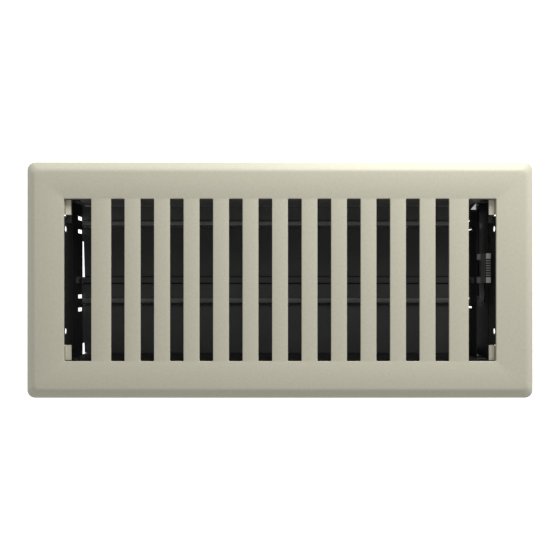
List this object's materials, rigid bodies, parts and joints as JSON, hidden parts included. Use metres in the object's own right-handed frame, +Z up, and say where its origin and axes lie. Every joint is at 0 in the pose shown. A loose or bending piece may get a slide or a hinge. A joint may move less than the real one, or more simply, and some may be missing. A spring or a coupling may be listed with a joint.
{
  "type": "louvred floor register",
  "caption": "Slotted rectangular floor air grille with a duct box, linked damper blades and a thumb lever that opens and shuts them.",
  "frame": {"origin": "centre of the faceplate outline, in the plane of the rim's underside, which is the floor surface", "axes": "+Z up out of the floor through the face, +X along the length towards the thumb lever, +Y across the width to the rear blade"},
  "size_m": [0.2858, 0.1334, 0.0405],
  "materials": {
    "beige_paint": "satin",
    "black_paint": "satin",
    "black_plastic": "matte",
    "bare_steel": "bare"
  },
  "bodies": {
    "register": {"faceplate": "beige_paint", "box_side_rear": "black_paint", "box_side_front": "black_paint", "box_end_left": "black_paint", "box_end_right": "black_paint", "pivot_bracket": "black_paint", "centre_bar": "black_paint", "corner_rivets": "black_paint", "bar_rivets": "black_paint", "bracket_rivets": "black_paint"},
    "front_blade": {"louver_front": "black_paint", "pivot_rod_front": "bare_steel", "crank_front": "black_paint", "link_pin_front": "bare_steel"},
    "rear_blade": {"louver_rear": "black_paint", "pivot_rod_rear": "bare_steel", "crank_rear": "black_paint", "link_pin_rear": "bare_steel"},
    "link": {"link_bar": "black_paint", "thumb_lever": "black_plastic", "lever_rivets": "bare_steel", "friction_spring": "bare_steel"}
  },
  "joints": [
    {"name": "front_blade_pivot", "type": "hinge", "parent": "register", "child": "front_blade", "pos_m": [0, -0.0139, -0.0254], "axis": [1, 0, 0], "range_deg": [-4, 81]},
    {"name": "rear_blade_pivot", "type": "hinge", "parent": "register", "child": "rear_blade", "pos_m": [0, 0.0333, -0.0254], "axis": [1, 0, 0], "range_deg": [-4, 81]},
    {"name": "link_pivot", "type": "hinge", "parent": "front_blade", "child": "link", "pos_m": [0.1181, -0.00721, -0.01797], "axis": [1, 0, 0], "range_deg": [-81, 4]}
  ],
  "couplings": [
    {"joint": "rear_blade_pivot", "follows": "front_blade_pivot", "ratio": 1},
    {"joint": "link_pivot", "follows": "front_blade_pivot", "ratio": -1}
  ]
}
